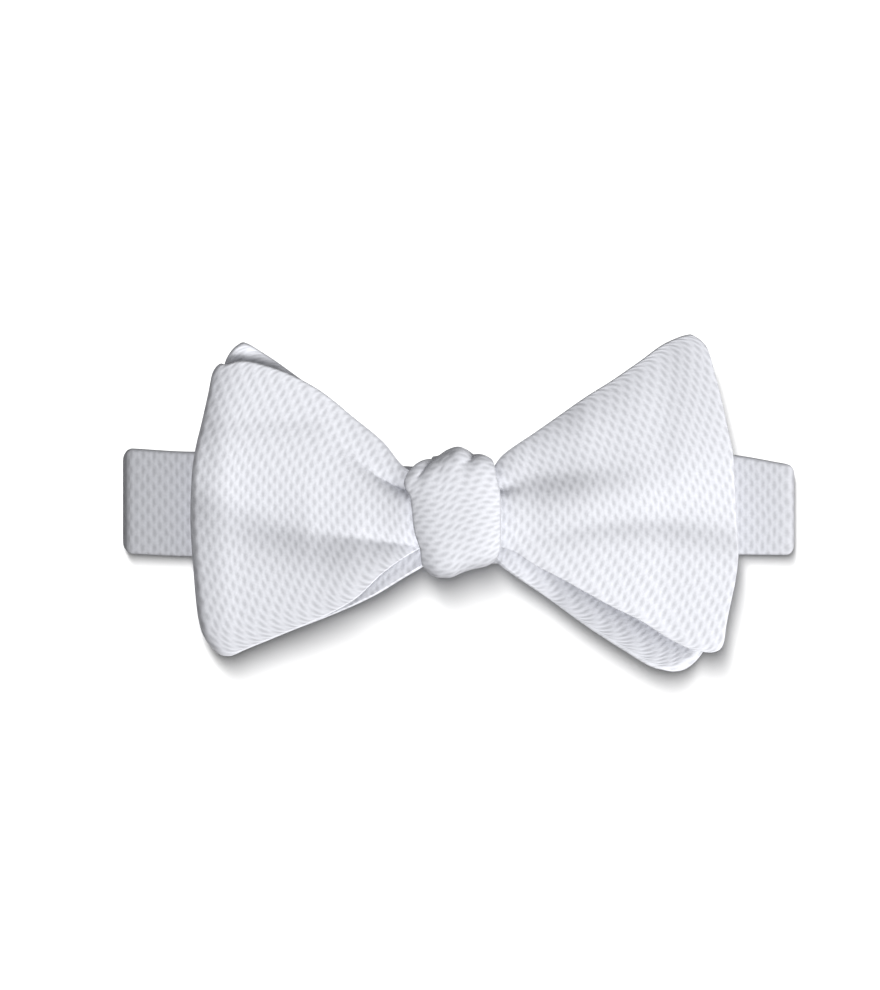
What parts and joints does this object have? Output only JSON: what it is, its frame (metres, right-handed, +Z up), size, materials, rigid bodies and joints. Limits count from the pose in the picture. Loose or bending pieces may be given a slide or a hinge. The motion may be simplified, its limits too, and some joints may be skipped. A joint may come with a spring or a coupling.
{
  "type": "self-tie bow tie",
  "caption": "White piqué self-tie bow tie, tied, lying face up with its neckband loop pressed flat; folded loops and flat ends show on both wings.",
  "frame": {"origin": "middle of the flat underside of the neckband's back stretch, straight below the knot, on the surface the tie lies on", "axes": "+Z up out of the bow's face, +X along the neckband from the folded front loop to the flat front blade, +Y across the neckband, up in the picture"},
  "size_m": [0.1626, 0.0817, 0.0296],
  "materials": {
    "neckband_cloth": "matte white cotton piqué",
    "bow_cloth": "matte white cotton piqué",
    "rear_bow_cloth": "matte white cotton piqué",
    "knot_cloth": "matte white cotton piqué"
  },
  "bodies": {
    "root": {"neckband": "neckband_cloth", "front_bow": "bow_cloth", "rear_bow": "rear_bow_cloth", "knot_wrap": "knot_cloth"}
  },
  "joints": []
}
